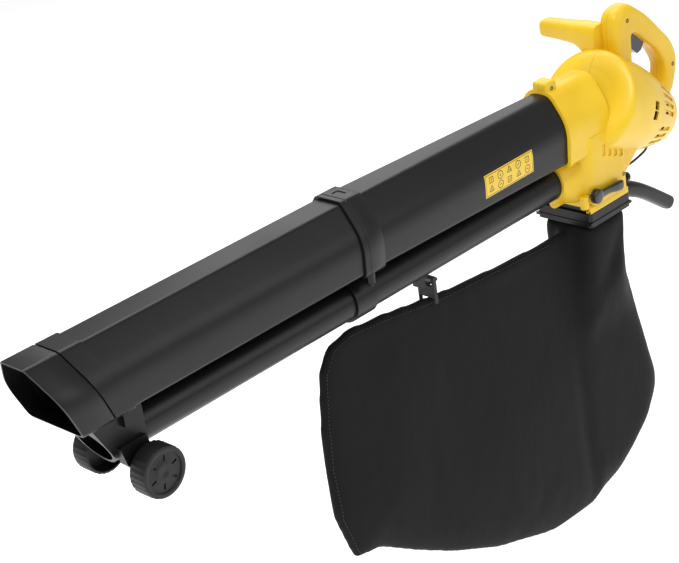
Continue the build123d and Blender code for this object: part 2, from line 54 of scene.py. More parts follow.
def makeCamera():
    data = bpy.data.cameras.new("camera")
    data.lens = camera["lens"]
    data.sensor_width = 36
    data.clip_end = 30
    cam = bpy.data.objects.new("camera", data)
    # pitched up from straight down, rolled about its own line of sight, then turned about the vertical
    tilt, around, roll = (math.radians(v) for v in (90 - camera["above"], camera["around"], camera["roll"]))
    turn = Matrix.Rotation(around, 4, "Z") @ Matrix.Rotation(tilt, 4, "X") @ Matrix.Rotation(roll, 4, "Z")
    turn.translation = camera["place"]
    cam.matrix_world = turn
    bpy.context.scene.collection.objects.link(cam)
    bpy.context.scene.camera = cam


def areaLight(name, place, aim, size, power, colour=(1, 1, 1)):
    data = bpy.data.lights.new(name, "AREA")
    data.size = size
    data.energy = power
    data.color = colour
    lamp = bpy.data.objects.new(name, data)
    lamp.location = place
    lamp.rotation_euler = (Vector(aim) - Vector(place)).to_track_quat("-Z", "Y").to_euler()
    bpy.context.scene.collection.objects.link(lamp)


def makeStudio():
    middle = (0, -0.5, -0.2)
    areaLight("keyLamp", (0.6, -1.9, 2.6), middle, 1.5, 52)
    areaLight("topLamp", (-0.9, 0.2, 2.5), middle, 1.8, 34)
    areaLight("sideLamp", (2.4, 0.6, 1.0), middle, 1.4, 10)
    areaLight("rearLamp", (-1.8, 1.6, 1.4), middle, 1.8, 14)
    world = bpy.data.worlds.new("paleRoom")
    bpy.context.scene.world = world
    world.use_nodes = True
    world.node_tree.nodes["Background"].inputs["Color"].default_value = (1, 1, 1, 1)
    world.node_tree.nodes["Background"].inputs["Strength"].default_value = 0.42
    bpy.context.scene.view_settings.view_transform = "Standard"
    mesh = bpy.data.meshes.new("floor")
    low = -0.72
    mesh.from_pydata([(-9, -9, low), (9, -9, low), (9, 9, low), (-9, 9, low)], [], [(0, 1, 2, 3)])
    floor = bpy.data.objects.new("floor", mesh)
    bpy.context.scene.collection.objects.link(floor)
    mat = bpy.data.materials.new("paleFloor")
    mat.use_nodes = True
    shader = mat.node_tree.nodes["Principled BSDF"]
    shader.inputs["Base Color"].default_value = (0.93, 0.93, 0.93, 1)
    shader.inputs["Roughness"].default_value = 0.9
    shader.inputs["Emission Color"].default_value = (1, 1, 1, 1)
    shader.inputs["Emission Strength"].default_value = 0.42
    mesh.materials.append(mat)


makeCamera()
makeStudio()
print("camera and studio ready")


# materials
class Nodes:
    # small helper to add and link shader nodes
    def __init__(self, name):
        self.mat = bpy.data.materials.new(name)
        self.mat.use_nodes = True
        self.tree = self.mat.node_tree
        self.shader = self.tree.nodes["Principled BSDF"]
        self.coords = self.tree.nodes.new("ShaderNodeTexCoord").outputs["Object"]

    def add(self, kind, links=None, **settings):
        node = self.tree.nodes.new(kind)
        for key, value in settings.items():
            setattr(node, key, value)
        for key, value in (links or {}).items():
            if isinstance(value, bpy.types.NodeSocket):
                self.tree.links.new(value, node.inputs[key])
            else:
                node.inputs[key].default_value = value
        return node

    def noise(self, scale, detail=3, rough=0.5, coords=None):
        links = {"Vector": coords or self.coords, "Scale": scale, "Detail": detail, "Roughness": rough}
        return self.add("ShaderNodeTexNoise", links).outputs["Fac"]

    def ramp(self, fac, stops):
        node = self.add("ShaderNodeValToRGB", {"Fac": fac})
        bar = node.color_ramp.elements
        while len(bar) < len(stops):
            bar.new(0.5)
        for element, (place, colour) in zip(bar, stops):
            element.position = place
            element.color = colour if len(colour) == 4 else (*colour, 1)
        return node.outputs["Color"]

    def mix(self, fac, a, b, blend="MIX"):
        node = self.add("ShaderNodeMix", data_type="RGBA", blend_type=blend)
        for key, value in ((0, fac), (6, a), (7, b)):
            if isinstance(value, bpy.types.NodeSocket):
                self.tree.links.new(value, node.inputs[key])
            else:
                node.inputs[key].default_value = value
        return node.outputs[2]

    def remap(self, fac, low, high, start=0.0, end=1.0):
        links = {"Value": fac, "From Min": start, "From Max": end, "To Min": low, "To Max": high}
        return self.add("ShaderNodeMapRange", links).outputs["Result"]

    def maths(self, operation, a, b=0.0):
        return self.add("ShaderNodeMath", {0: a, 1: b}, operation=operation).outputs[0]

    def bump(self, height, strength, distance, normal=None):
        links = {"Height": height, "Strength": strength, "Distance": distance}
        if normal is not None:
            links["Normal"] = normal
        return self.add("ShaderNodeBump", links).outputs["Normal"]

    def edgeWear(self, width=0.0012):
        # bright on edges, dark elsewhere
        bevelled = self.add("ShaderNodeBevel", {"Radius": width}, samples=4).outputs["Normal"]
        plain = self.add("ShaderNodeNewGeometry").outputs["Normal"]
        dot = self.add("ShaderNodeVectorMath", {0: bevelled, 1: plain},
                       operation="DOT_PRODUCT").outputs["Value"]
        return self.remap(dot, 1.0, 0.0, 0.86, 0.995)

    def send(self, **sockets):
        names = {"colour": "Base Color", "rough": "Roughness", "normal": "Normal", "metal": "Metallic",
                 "coat": "Coat Weight", "sheen": "Sheen Weight", "specular": "Specular IOR Level"}
        for key, value in sockets.items():
            if isinstance(value, bpy.types.NodeSocket):
                self.tree.links.new(value, self.shader.inputs[names[key]])
            else:
                self.shader.inputs[names[key]].default_value = value
        return self.mat


plastics = {
    "housingYellow": {"colour": (0.90, 0.60, 0.022), "deep": (0.80, 0.50, 0.014), "rough": (0.27, 0.40),
                      "grain": 2600, "grainDepth": 0.00003, "coat": 0.1, "gloss": 0.4, "seam": 0.00022,
                      "worn": (0.93, 0.68, 0.09)},
    "tubeBlack": {"colour": (0.0075, 0.0075, 0.008), "deep": (0.0045, 0.0045, 0.005), "rough": (0.27, 0.40),
                  "grain": 1800, "grainDepth": 0.00003, "coat": 0.0, "gloss": 0.34, "worn": (0.05, 0.05,
                                                                                             0.052)},
    "wheelBlack": {"colour": (0.014, 0.014, 0.0145), "deep": (0.009, 0.009, 0.0095), "rough": (0.36, 0.52),
                   "grain": 2200, "grainDepth": 0.00005, "coat": 0.0, "gloss": 0.34, "worn": (0.06, 0.06,
                                                                                              0.06)},
    "knobGloss": {"colour": (0.009, 0.009, 0.0095), "deep": (0.006, 0.006, 0.0065), "rough": (0.13, 0.22),
                  "grain": 1500, "grainDepth": 0.00001, "coat": 0.4, "gloss": 0.5, "worn": (0.04, 0.04, 0.042)},
    "innerGrey": {"colour": (0.10, 0.10, 0.105), "deep": (0.07, 0.07, 0.075), "rough": (0.45, 0.6),
                  "grain": 1500, "grainDepth": 0.00005, "coat": 0.0, "gloss": 0.34, "worn": (0.16, 0.16,
                                                                                             0.165)},
}


def mouldedPlastic(name, s):
    n = Nodes(name)
    cloud = n.noise(9, 4)
    fine = n.noise(s["grain"], 2, 0.6)
    streak = n.noise(60, 5, 0.7, n.add("ShaderNodeMapping",
                                       {"Vector": n.coords, "Scale": (1, 0.06, 1)}).outputs[0])
    body = n.mix(n.ramp(cloud, [(0.35, (0, 0, 0)), (0.68, (1, 1, 1))]), (*s["colour"], 1), (*s["deep"], 1))
    scuff = n.ramp(streak, [(0.62, (0, 0, 0)), (0.80, (1, 1, 1))])
    edge = n.maths("MULTIPLY", n.edgeWear(), n.remap(n.noise(140, 4), 0.1, 0.75, 0.35, 0.7))
    colour = n.mix(n.maths("MULTIPLY", edge, 0.5), body, (*s["worn"], 1))
    rough = n.maths("ADD", n.remap(cloud, *s["rough"]), n.maths("MULTIPLY", scuff, 0.07))
    if s.get("seam"):
        # the halves meet in a fine dark line down the middle
        across = n.add("ShaderNodeSeparateXYZ", {"Vector": n.coords}).outputs["X"]
        line = n.maths("LESS_THAN", n.maths("ABSOLUTE", across), s["seam"])
        colour = n.mix(n.maths("MULTIPLY", line, 0.75), colour, (0.30, 0.16, 0.004, 1))
    wave = n.bump(n.noise(26, 2), 0.06, 0.0006)
    grain = n.bump(fine, 0.35, s["grainDepth"], wave)
    mat = n.send(colour=colour, rough=rough, normal=grain, coat=s["coat"])
    n.shader.inputs["Coat Roughness"].default_value = 0.18
    n.shader.inputs["Specular IOR Level"].default_value = s["gloss"]
    return mat


def bareSteel(name="turnedSteel", light=(0.62, 0.62, 0.64, 1), dark=(0.44, 0.43, 0.42, 1)):
    n = Nodes(name)
    lines = n.noise(420, 4, 0.7, n.add("ShaderNodeMapping",
                                       {"Vector": n.coords, "Scale": (0.05, 1, 1)}).outputs[0])
    stain = n.noise(70, 3)
    colour = n.mix(stain, light, dark)
    return n.send(colour=colour, metal=1.0, rough=n.remap(lines, 0.24, 0.46), normal=n.bump(lines, 0.2, 0.0001))


def copperBars():
    n = Nodes("copperBars")
    tone = n.noise(300, 3)
    colour = n.mix(tone, (0.80, 0.40, 0.20, 1), (0.45, 0.20, 0.11, 1))
    return n.send(colour=colour, metal=1.0, rough=n.remap(tone, 0.25, 0.5), normal=n.bump(tone, 0.2, 0.0001))


def coreIron():
    n = Nodes("coreIron")
    axisLine = n.add("ShaderNodeMapping", {"Vector": n.coords, "Rotation": (math.radians(27), 0, 0)}).outputs[0]
    sheets = n.add("ShaderNodeTexWave", {"Vector": axisLine, "Scale": 320, "Distortion": 0.3},
                   bands_direction="Y").outputs["Fac"]
    colour = n.mix(sheets, (0.16, 0.16, 0.17, 1), (0.30, 0.30, 0.31, 1))
    return n.send(colour=colour, metal=0.9, rough=0.45, normal=n.bump(sheets, 0.4, 0.0002))


def leadRubber():
    n = Nodes("leadRubber")
    tone = n.noise(900, 3)
    colour = n.mix(tone, (0.012, 0.012, 0.013, 1), (0.022, 0.022, 0.023, 1))
    return n.send(colour=colour, rough=n.remap(tone, 0.45, 0.62), normal=n.bump(tone, 0.3, 0.0001))


def bagCloth():
    # close plain weave, across Y and Z, with a faint sheen
    n = Nodes("bagCloth")
    warp = n.add("ShaderNodeTexWave", {"Vector": n.coords, "Scale": 260, "Distortion": 0.6, "Detail": 1},
                 bands_direction="Y").outputs["Fac"]
    weft = n.add("ShaderNodeTexWave", {"Vector": n.coords, "Scale": 260, "Distortion": 0.6, "Detail": 1},
                 bands_direction="Z").outputs["Fac"]
    weave = n.maths("MAXIMUM", warp, weft)
    cloud = n.noise(7, 5, 0.6)
    patches = n.ramp(cloud, [(0.3, (0, 0, 0)), (0.72, (1, 1, 1))])
    tone = n.mix(patches, (0.0034, 0.0034, 0.0038, 1), (0.0064, 0.0064, 0.007, 1))
    colour = n.mix(n.maths("MULTIPLY", weave, 0.35), tone, (0.010, 0.010, 0.0108, 1))
    soft = n.noise(16, 4, 0.55, n.add("ShaderNodeMapping",
                                      {"Vector": n.coords, "Scale": (1, 1, 0.45)}).outputs[0])
    folds = n.bump(soft, 0.22, 0.012)
    mat = n.send(colour=colour, rough=n.remap(weave, 0.62, 0.80), sheen=0.05,
                 normal=n.bump(weave, 0.35, 0.00012, folds))
    n.shader.inputs["Sheen Roughness"].default_value = 0.45
    n.shader.inputs["Specular IOR Level"].default_value = 0.16
    return mat


def strapWebbing():
    n = Nodes("strapWebbing")
    ribs = n.add("ShaderNodeTexWave", {"Vector": n.coords, "Scale": 420, "Distortion": 0.8},
                 bands_direction="Z").outputs["Fac"]
    colour = n.mix(ribs, (0.012, 0.012, 0.013, 1), (0.03, 0.03, 0.031, 1))
    return n.send(colour=colour, rough=0.75, sheen=0.15, normal=n.bump(ribs, 0.6, 0.0003))


def threadBlack():
    n = Nodes("stitchThread")
    twist = n.add("ShaderNodeTexWave", {"Vector": n.coords, "Scale": 900},
                  bands_direction="DIAGONAL").outputs["Fac"]
    colour = n.mix(twist, (0.012, 0.012, 0.013, 1), (0.035, 0.035, 0.037, 1))
    return n.send(colour=colour, rough=0.6, sheen=0.2, normal=n.bump(twist, 0.5, 0.0001))


def labelFilm():
    n = Nodes("labelFilm")
    cloud = n.noise(40, 3)
    colour = n.mix(cloud, (0.92, 0.62, 0.020, 1), (0.86, 0.56, 0.016, 1))
    return n.send(colour=colour, rough=n.remap(cloud, 0.28, 0.4), coat=0.3,
                  normal=n.bump(n.noise(600, 2), 0.1, 0.00003))


def labelInk():
    n = Nodes("labelInk")
    dots = n.noise(1500, 2)
    colour = n.mix(dots, (0.012, 0.012, 0.012, 1), (0.03, 0.028, 0.02, 1))
    return n.send(colour=colour, rough=n.remap(dots, 0.35, 0.5))


paint = {name: mouldedPlastic(name, s) for name, s in plastics.items()}
paint.update({"steel": bareSteel(), "screwDark": bareSteel("screwDark", (0.06, 0.06, 0.065, 1),
                                                           (0.025, 0.025, 0.027, 1)),
              "stitchThread": threadBlack(), "copper": copperBars(), "iron": coreIron(), "leadRubber": leadRubber(),
              "bagCloth": bagCloth(), "webbing": strapWebbing(), "labelFilm": labelFilm(), "labelInk": labelInk()})
slotPaint = {"black_plastic": "tubeBlack", "wheel_plastic": "wheelBlack", "yellow_plastic": "housingYellow",
             "grey_plastic": "innerGrey", "gloss_black": "knobGloss", "steel": "steel", "iron_core": "iron",
             "copper": "copper", "lead_rubber": "leadRubber", "bag_fabric": "bagCloth", "webbing": "webbing",
             "label_film": "labelFilm"}
for part in frame["record"]["subparts"]:
    node = nodes[part["node"]]
    node.data.materials.clear()
    node.data.materials.append(paint[slotPaint[part["material_slot"]]])
print("materials:", len(paint))


# mesh helpers
def meshPiece(name, verts, faces, mat):
    mesh = bpy.data.meshes.new(name)
    mesh.from_pydata([tuple(v) for v in verts], [], faces)
    tidyMesh(mesh)
    mesh.materials.append(paint[mat])
    piece = bpy.data.objects.new(name, mesh)
    bpy.context.scene.collection.objects.link(piece)
    return piece


def tidyMesh(mesh):
    bm = bmesh.new()
    bm.from_mesh(mesh)
    bmesh.ops.remove_doubles(bm, verts=bm.verts, dist=0.00001)
    bmesh.ops.recalc_face_normals(bm, faces=bm.faces)
    bm.to_mesh(mesh)
    bm.free()


def settle(piece, angle=35):
    # modifiers become plain mesh, with smooth shading up to the given angle
    depsgraph = bpy.context.evaluated_depsgraph_get()
    mesh = bpy.data.meshes.new_from_object(piece.evaluated_get(depsgraph))
    piece.modifiers.clear()
    piece.data = mesh
    mesh.shade_smooth()
    mesh.set_sharp_from_angle(angle=math.radians(angle))
    return piece


def addModifier(piece, kind, **settings):
    mod = piece.modifiers.new(kind.lower(), kind)
    for key, value in settings.items():
        setattr(mod, key, value)
    return mod


def skin(name, rings, mat, closed=False):
    # rings of equal count joined into one closed skin, with caps unless the rings meet
    count = len(rings[0])
    verts = [v for ring in rings for v in ring]
    faces = []
    last = len(rings) if closed else len(rings) - 1
    for i in range(last):
        for j in range(count):
            a, b = i * count, ((i + 1) % len(rings)) * count
            faces.append((a + j, a + (j + 1) % count, b + (j + 1) % count, b + j))
    if not closed:
        faces.append(tuple(range(count)))
        faces.append(tuple(range((len(rings) - 1) * count, len(rings) * count)))
    return meshPiece(name, verts, faces, mat)


def roundCorners(points, radius, steps=5):
    # an outline with its corners rounded; radius may be a list, one for each corner
    result = []
    count = len(points)
    for i, (y, z) in enumerate(points):
        r = radius[i] if isinstance(radius, (list, tuple)) else radius
        here = Vector((y, z))
        back = Vector(points[i - 1]) - here
        ahead = Vector(points[(i + 1) % count]) - here
        angle = back.angle(ahead)
        reach = min(r / math.tan(angle / 2), back.length * 0.48, ahead.length * 0.48) if r else 0
        start, end = here + back.normalized() * reach, here + ahead.normalized() * reach
        for k in range(steps + 1):
            t = k / steps
            result.append(tuple(start * (1 - t) ** 2 + here * 2 * t * (1 - t) + end * t ** 2))
            if not reach:
                break
    return result


def plate(name, outline, x0, x1, mat, bevel=0.0, segments=4):
    # outline in Y and Z, from x0 to x1, with rounded rims
    near = [spot(x1, y, z) for y, z in outline]
    far = [spot(x0, y, z) for y, z in outline]
    piece = skin(name, [far, near], mat)
    if bevel:
        addModifier(piece, "BEVEL", width=bevel / 1000, segments=segments, angle_limit=math.radians(50),
                    use_clamp_overlap=False)
    return piece


def lathe(name, profile, centre, axis, mat, steps=48, up=None):
    # profile of (distance along the axis, radius) turned about it
    axis = Vector(axis).normalized()
    side = axis.orthogonal().normalized() if up is None else Vector(up)
    other = axis.cross(side)
    rings = []
    for along, radius in profile:
        middle = spot(*centre) + axis * (along / 1000)
        turns = [2 * math.pi * k / steps for k in range(steps)]
        rings.append([middle + (side * math.cos(t) + other * math.sin(t)) * max(radius,
                                                                                0.01) / 1000 for t in turns])
    return skin(name, rings, mat)


def smoothChain(points, steps):
    # a curve through the points, evenly split between each pair
    result = []
    for i in range(len(points) - 1):
        p0, p1, p2, p3 = points[max(i - 1, 0)], points[i], points[i + 1], points[min(i + 2, len(points) - 1)]
        for k in range(steps):
            t = k / steps
            result.append(0.5 * ((2 * p1) + (p2 - p0) * t + (2 * p0 - 5 * p1 + 4 * p2 - p3) * t * t
                                 + (3 * p1 - p0 - 3 * p2 + p3) * t ** 3))
    return result + [points[-1]]


def superRing(middle, across, along, power, steps):
    # a rounded rectangle of the two half widths
    ring = []
    for k in range(steps):
        a = 2 * math.pi * k / steps
        c, s = math.cos(a), math.sin(a)
        ring.append(middle + across * math.copysign(abs(c) ** (2 / power), c)
                    + along * math.copysign(abs(s) ** (2 / power), s))
    return ring


def cutWith(piece, cutter):
    addModifier(piece, "BOOLEAN", object=cutter, operation="DIFFERENCE", solver="EXACT")
    settle(piece)
    bpy.data.objects.remove(cutter)


def joinAll(pieces, name):
    bm = bmesh.new()
    for piece in pieces:
        bm.from_mesh(piece.data)
    mesh = bpy.data.meshes.new(name)
    bm.to_mesh(mesh)
    bm.free()
    mesh.materials.append(pieces[0].data.materials[0])
    for piece in pieces:
        bpy.data.objects.remove(piece)
    joined = bpy.data.objects.new(name, mesh)
    bpy.context.scene.collection.objects.link(joined)
    return joined


def boxPiece(name, lo, hi, mat, bevel=0.0, turn=None):
    corners = [(x, y, z) for x in (lo[0], hi[0]) for y in (lo[1], hi[1]) for z in (lo[2], hi[2])]
    verts = [turn(*c) if turn else spot(*c) for c in corners]
    faces = [(0, 1, 3, 2), (4, 6, 7, 5), (0, 4, 5, 1), (2, 3, 7, 6), (0, 2, 6, 4), (1, 5, 7, 3)]
    piece = meshPiece(name, verts, faces, mat)
    if bevel:
        addModifier(piece, "BEVEL", width=bevel / 1000, segments=3)
    return piece


def finish(piece, body, slotName, *replaced):
    settle(piece)
    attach(piece, body)
    if replaced:
        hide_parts(*replaced)
    return piece


# tubes
tube = {"top": (19, 43.5), "side": (48, 2), "bottom": (45, -42.5), "rearTop": (14.5, 38.5),
        "rearSide": (41, 0), "rearBottom": (37.5, -53.5), "bandRear": 494, "end": 854}


def tubeRing(y, blend=0, grow=0.0, cut=None):
    # the tube's six-sided section at y; cut turns the ring into a slanted plane
    topHalf = tube["top"][0] + blend * (tube["rearTop"][0] - tube["top"][0]) + 0.6 * grow
    topZ = tube["top"][1] + blend * (tube["rearTop"][1] - tube["top"][1]) + grow
    sideHalf = tube["side"][0] + blend * (tube["rearSide"][0] - tube["side"][0]) + 1.1 * grow
    sideZ = tube["side"][1] + blend * (tube["rearSide"][1] - tube["side"][1])
    bottomHalf = tube["bottom"][0] + blend * (tube["rearBottom"][0] - tube["bottom"][0]) + grow
    bottomZ = tube["bottom"][1] + blend * (tube["rearBottom"][1] - tube["bottom"][1]) - grow
    corners = [(-bottomHalf, bottomZ), (bottomHalf, bottomZ), (sideHalf, sideZ), (topHalf, topZ),
               (-topHalf, topZ),
               (-sideHalf, sideZ)]
    low, big, small = 7 + grow, 56 + grow, 7 + 13 * blend + 0.4 * grow
    outline = roundCorners(corners, [low, low, big, small, small, big], 9)
    return [spot(x, y + (cut * (tube["top"][1] - z) if cut else 0), z) for x, z in outline]


def tubeWalled(name, outer, inner, mat="tubeBlack"):
    # outer rings front to back, then inner rings back to front, closed into a wall
    return skin(name, outer + inner[::-1], mat, closed=True)


def blendAt(y):
    return max(0.0, (y - tube["bandRear"]) / (tube["end"] - tube["bandRear"]))


cap = {"mouthSlope": 0.415, "seamY": 44, "seamSlope": 0.395, "wall": 2.2, "lip": 0.9}


def makeNozzleCap():
    # the rim is rolled over, and a low step runs round behind the seam
    slopes = [(0.0, -cap["lip"] * 0.4), (0.7, cap["wall"] * 0.9), (2.5, cap["wall"])]
    outer = [tubeRing(y, 0, g, cap["mouthSlope"]) for y, g in slopes]
    for back, grow in ((1.2, cap["wall"]), (0.0, cap["wall"] - 0.7)):
        outer.append(tubeRing(cap["seamY"] - back, 0, grow, cap["seamSlope"]))
    inner = [tubeRing(0.4, 0, -0.35, cap["mouthSlope"]), tubeRing(2.0, 0, 0.0, cap["mouthSlope"]),
             tubeRing(cap["seamY"], 0, 0.02, cap["seamSlope"])]
    piece = tubeWalled("nozzle_rim", outer, inner)
    return finish(piece, "blower", "black_plastic", "nozzle_cap")


def makeLowerTube():
    front, back = 26, 478
    outer = [tubeRing(front, 0, 0, 0.395), tubeRing(45.4, 0, 0, 0.395), tubeRing(46, 0, 2.2, 0.395),
             tubeRing(74, 0, 2.0, 0.39), tubeRing(75, 0, 0, 0.39)]
    outer += [tubeRing(150 + 30 * i) for i in range(11)]
    outer += [tubeRing(back)]
    inner = [tubeRing(front, 0, -cap["wall"], 0.395), tubeRing(back, 0, -cap["wall"])]
    piece = tubeWalled("front_tube", outer, inner)
    slot = boxPiece("slot", (-8, 470.5, 30), (8, 484.5, 60), "tubeBlack")
    cutWith(piece, slot)
    return finish(piece, "blower", "black_plastic", "lower_vac_tube")


def makeUpperTube():
    front, rear, end = 460, tube["bandRear"], tube["end"] + 24
    outer = [tubeRing(front, 0, 2.6), tubeRing(front + 0.8, 0, 3.4), tubeRing(front + 6, 0, 3.4),
             tubeRing(front + 6.6, 0, 2.9),
             tubeRing(front + 8.4, 0, 2.9), tubeRing(front + 9, 0, 3.4), tubeRing(rear - 1.5, 0, 3.4),
             tubeRing(rear - 0.5, 0, 2.8), tubeRing(rear, 0, 1.6), tubeRing(rear + 0.4, 0, 0.0)]
    outer += [tubeRing(y, blendAt(y)) for y in range(520, 854, 30)]
    outer += [tubeRing(tube["end"], 1), tubeRing(end, 1)]
    wall = cap["wall"]
    inner = [tubeRing(front, 0, 0.05), tubeRing(478, 0, 0.05), tubeRing(478.2, 0, -wall),
             tubeRing(rear, 0, -wall),
             tubeRing(tube["end"], 1, -wall), tubeRing(end, 1, -wall)]
    piece = tubeWalled("rear_tube", outer, inner)
    slot = boxPiece("slot", (-7.5, 474, 30), (7.5, 485, 60), "tubeBlack")
    cutWith(piece, slot)
    lugs = []
    for side in (-1, 1):
        lugs.append(lathe("lug", [(0, 4.8), (0.7, 5.5), (17, 6.5)], (side * 36, 477, -60), (0, 0, 1),
                          "tubeBlack", 28))
    whole = joinAll([piece] + lugs, "rear_tube_band")
    return finish(whole, "blower", "black_plastic", "upper_vac_tube")


makeNozzleCap()
makeLowerTube()
makeUpperTube()
print("suction tubes done")


# fan casing
casing = {"centre": (0, 944, 0.5), "tilt": 27.0, "near": 71.5, "far": 66.0, "bulge": 6.0,
          "rim": 14.5, "coneEnd": 163.5, "coneRadius": 41.3, "wall": 3.0, "steps": 120}
fanBack = Vector((0, math.cos(math.radians(casing["tilt"])), -math.sin(math.radians(casing["tilt"]))))
fanUp = Vector((0, math.sin(math.radians(casing["tilt"])), math.cos(math.radians(casing["tilt"]))))
fanSide = Vector((1, 0, 0))


def fanSpot(s, radius, turn):
    # turn is in degrees from the near side, counted over the top
    angle = math.radians(turn)
    out = fanSide * math.cos(angle) + fanUp * math.sin(angle)
    return spot(*casing["centre"]) + (fanBack * s + out * radius) / 1000


def scrollRadius(turn, near, far):
    turn = (turn + 180) % 360 - 180
    share = (180 - turn) / 180 if turn >= -90 else (turn + 180) / 60
    return far + share * (near - far)


def casingRing(s, near, far, lean=0.0):
    # lean carries the ring forward on the far side and back on the near one
    ring = []
    for k in range(casing["steps"]):
        turn = 360 * k / casing["steps"] - 180
        around = [scrollRadius(turn + d, near, far) for d in (-24, -12, 0, 12, 24)]
        forward = lean * (0.2 - 0.8 * math.cos(math.radians(turn - 30)))
        forward *= 1.25 if forward < 0 else 1
        ring.append(fanSpot(s - forward, sum(around) / 5, turn))
    return ring


def coneRing(s, wall=0.0):
    share = (s - casing["rim"]) / (casing["coneEnd"] - casing["rim"])
    swell = casing["bulge"] * math.sin(math.pi * share) - wall
    near = casing["near"] + (casing["coneRadius"] - casing["near"]) * share
    far = casing["far"] + (casing["coneRadius"] - casing["far"]) * share
    return casingRing(s, near + swell, far + swell)


def makeCasing():
    near, far = casing["near"], casing["far"]
    outer = []
    for k in range(17):
        a = math.radians(90 * k / 16)
        inward = 1 - math.sin(a)
        back = -4 + 18.5 * (1 - math.cos(a)) ** 0.9
        outer.append(casingRing(back, near - 30 * inward ** 1.1, far - 26 * inward ** 1.1, 14 * math.cos(a)))
    outer += [coneRing(casing["rim"] + (casing["coneEnd"] - casing["rim"]) * k / 24) for k in range(1, 25)]
    for ds, r in ((1.6, 40.6), (3.4, 38.6), (4.6, 36.2), (5.0, 34.0)):
        outer.append(casingRing(casing["coneEnd"] + ds, r, r))
    piece = skin("fan_casing", outer, "housingYellow")
    wall = casing["wall"]
    inner = [casingRing(9.5, near - 20, far - 18)]
    inner += [coneRing(casing["rim"] + (casing["coneEnd"] - 1 - casing["rim"]) * k / 12,
                       wall) for k in range(13)]
    cutWith(piece, skin("room", inner, "housingYellow"))
    cuts = [fanCut(turn, 73, 85, 5.9, 46, 80) for turn in (-2, 10)]
    cuts += [fanCut(turn, 106, 146, 3.0, 0, 70, 2.7) for turn in range(-66, 250, 12) if not -14 < turn < -4]
    cutWith(piece, joinAll(cuts, "cuts"))
    return piece


def fanCut(turn, s0, s1, half, r0, r1, depth=0.0):
    # a block cut into the cone; with a depth, its floor follows the cone's wall
    def turned(s, r, side):
        if depth and r == r0:
            share = (s - casing["rim"]) / (casing["coneEnd"] - casing["rim"])
            r = scrollRadius(turn, casing["near"], casing["far"]) * (1 - share) + casing["coneRadius"] * share
            r += casing["bulge"] * math.sin(math.pi * share) - depth
        a = math.radians(turn)
        out = fanSide * math.cos(a) + fanUp * math.sin(a)
        over = fanUp * math.cos(a) - fanSide * math.sin(a)
        return spot(*casing["centre"]) + (fanBack * s + out * r + over * side) / 1000
    return boxPiece("cut", (s0, r0, -half), (s1, r1, half), "housingYellow", 0, turned)


casingPiece = makeCasing()
finish(casingPiece, "blower", "yellow_plastic", "housing_left", "housing_right")
print("fan casing done")

# duct, collar and lower body
duct = {"grow": 4.0, "lip": 5.2, "end": 938}


def makeDuct():
    outer = [tubeRing(853.2, 1, 3.2), tubeRing(854, 1, duct["lip"]), tubeRing(860, 1, duct["lip"]),
             tubeRing(861.4, 1, duct["grow"]), tubeRing(880, 1, duct["grow"]), tubeRing(duct["end"], 1,
                                                                                        duct["grow"] + 0.5)]
    inner = [tubeRing(853.2, 1, 0.3), tubeRing(duct["end"], 1, 0.3)]
    piece = tubeWalled("duct_shell", outer, inner, "housingYellow")
    return finish(piece, "blower", "yellow_plastic")


boss = {"half": 12, "y": (853.5, 876), "z": (34, 54)}


def makeBoss():
    lo = (-boss["half"], boss["y"][0], boss["z"][0])
    hi = (boss["half"], boss["y"][1], boss["z"][1])
    piece = boxPiece("collar_boss", lo, hi, "housingYellow", 4.0)
    piece.modifiers[-1].segments = 5
    return finish(piece, "blower", "yellow_plastic")


lower = {"half": 45, "front": 882, "rear": 967, "floor": -126, "top": -30}


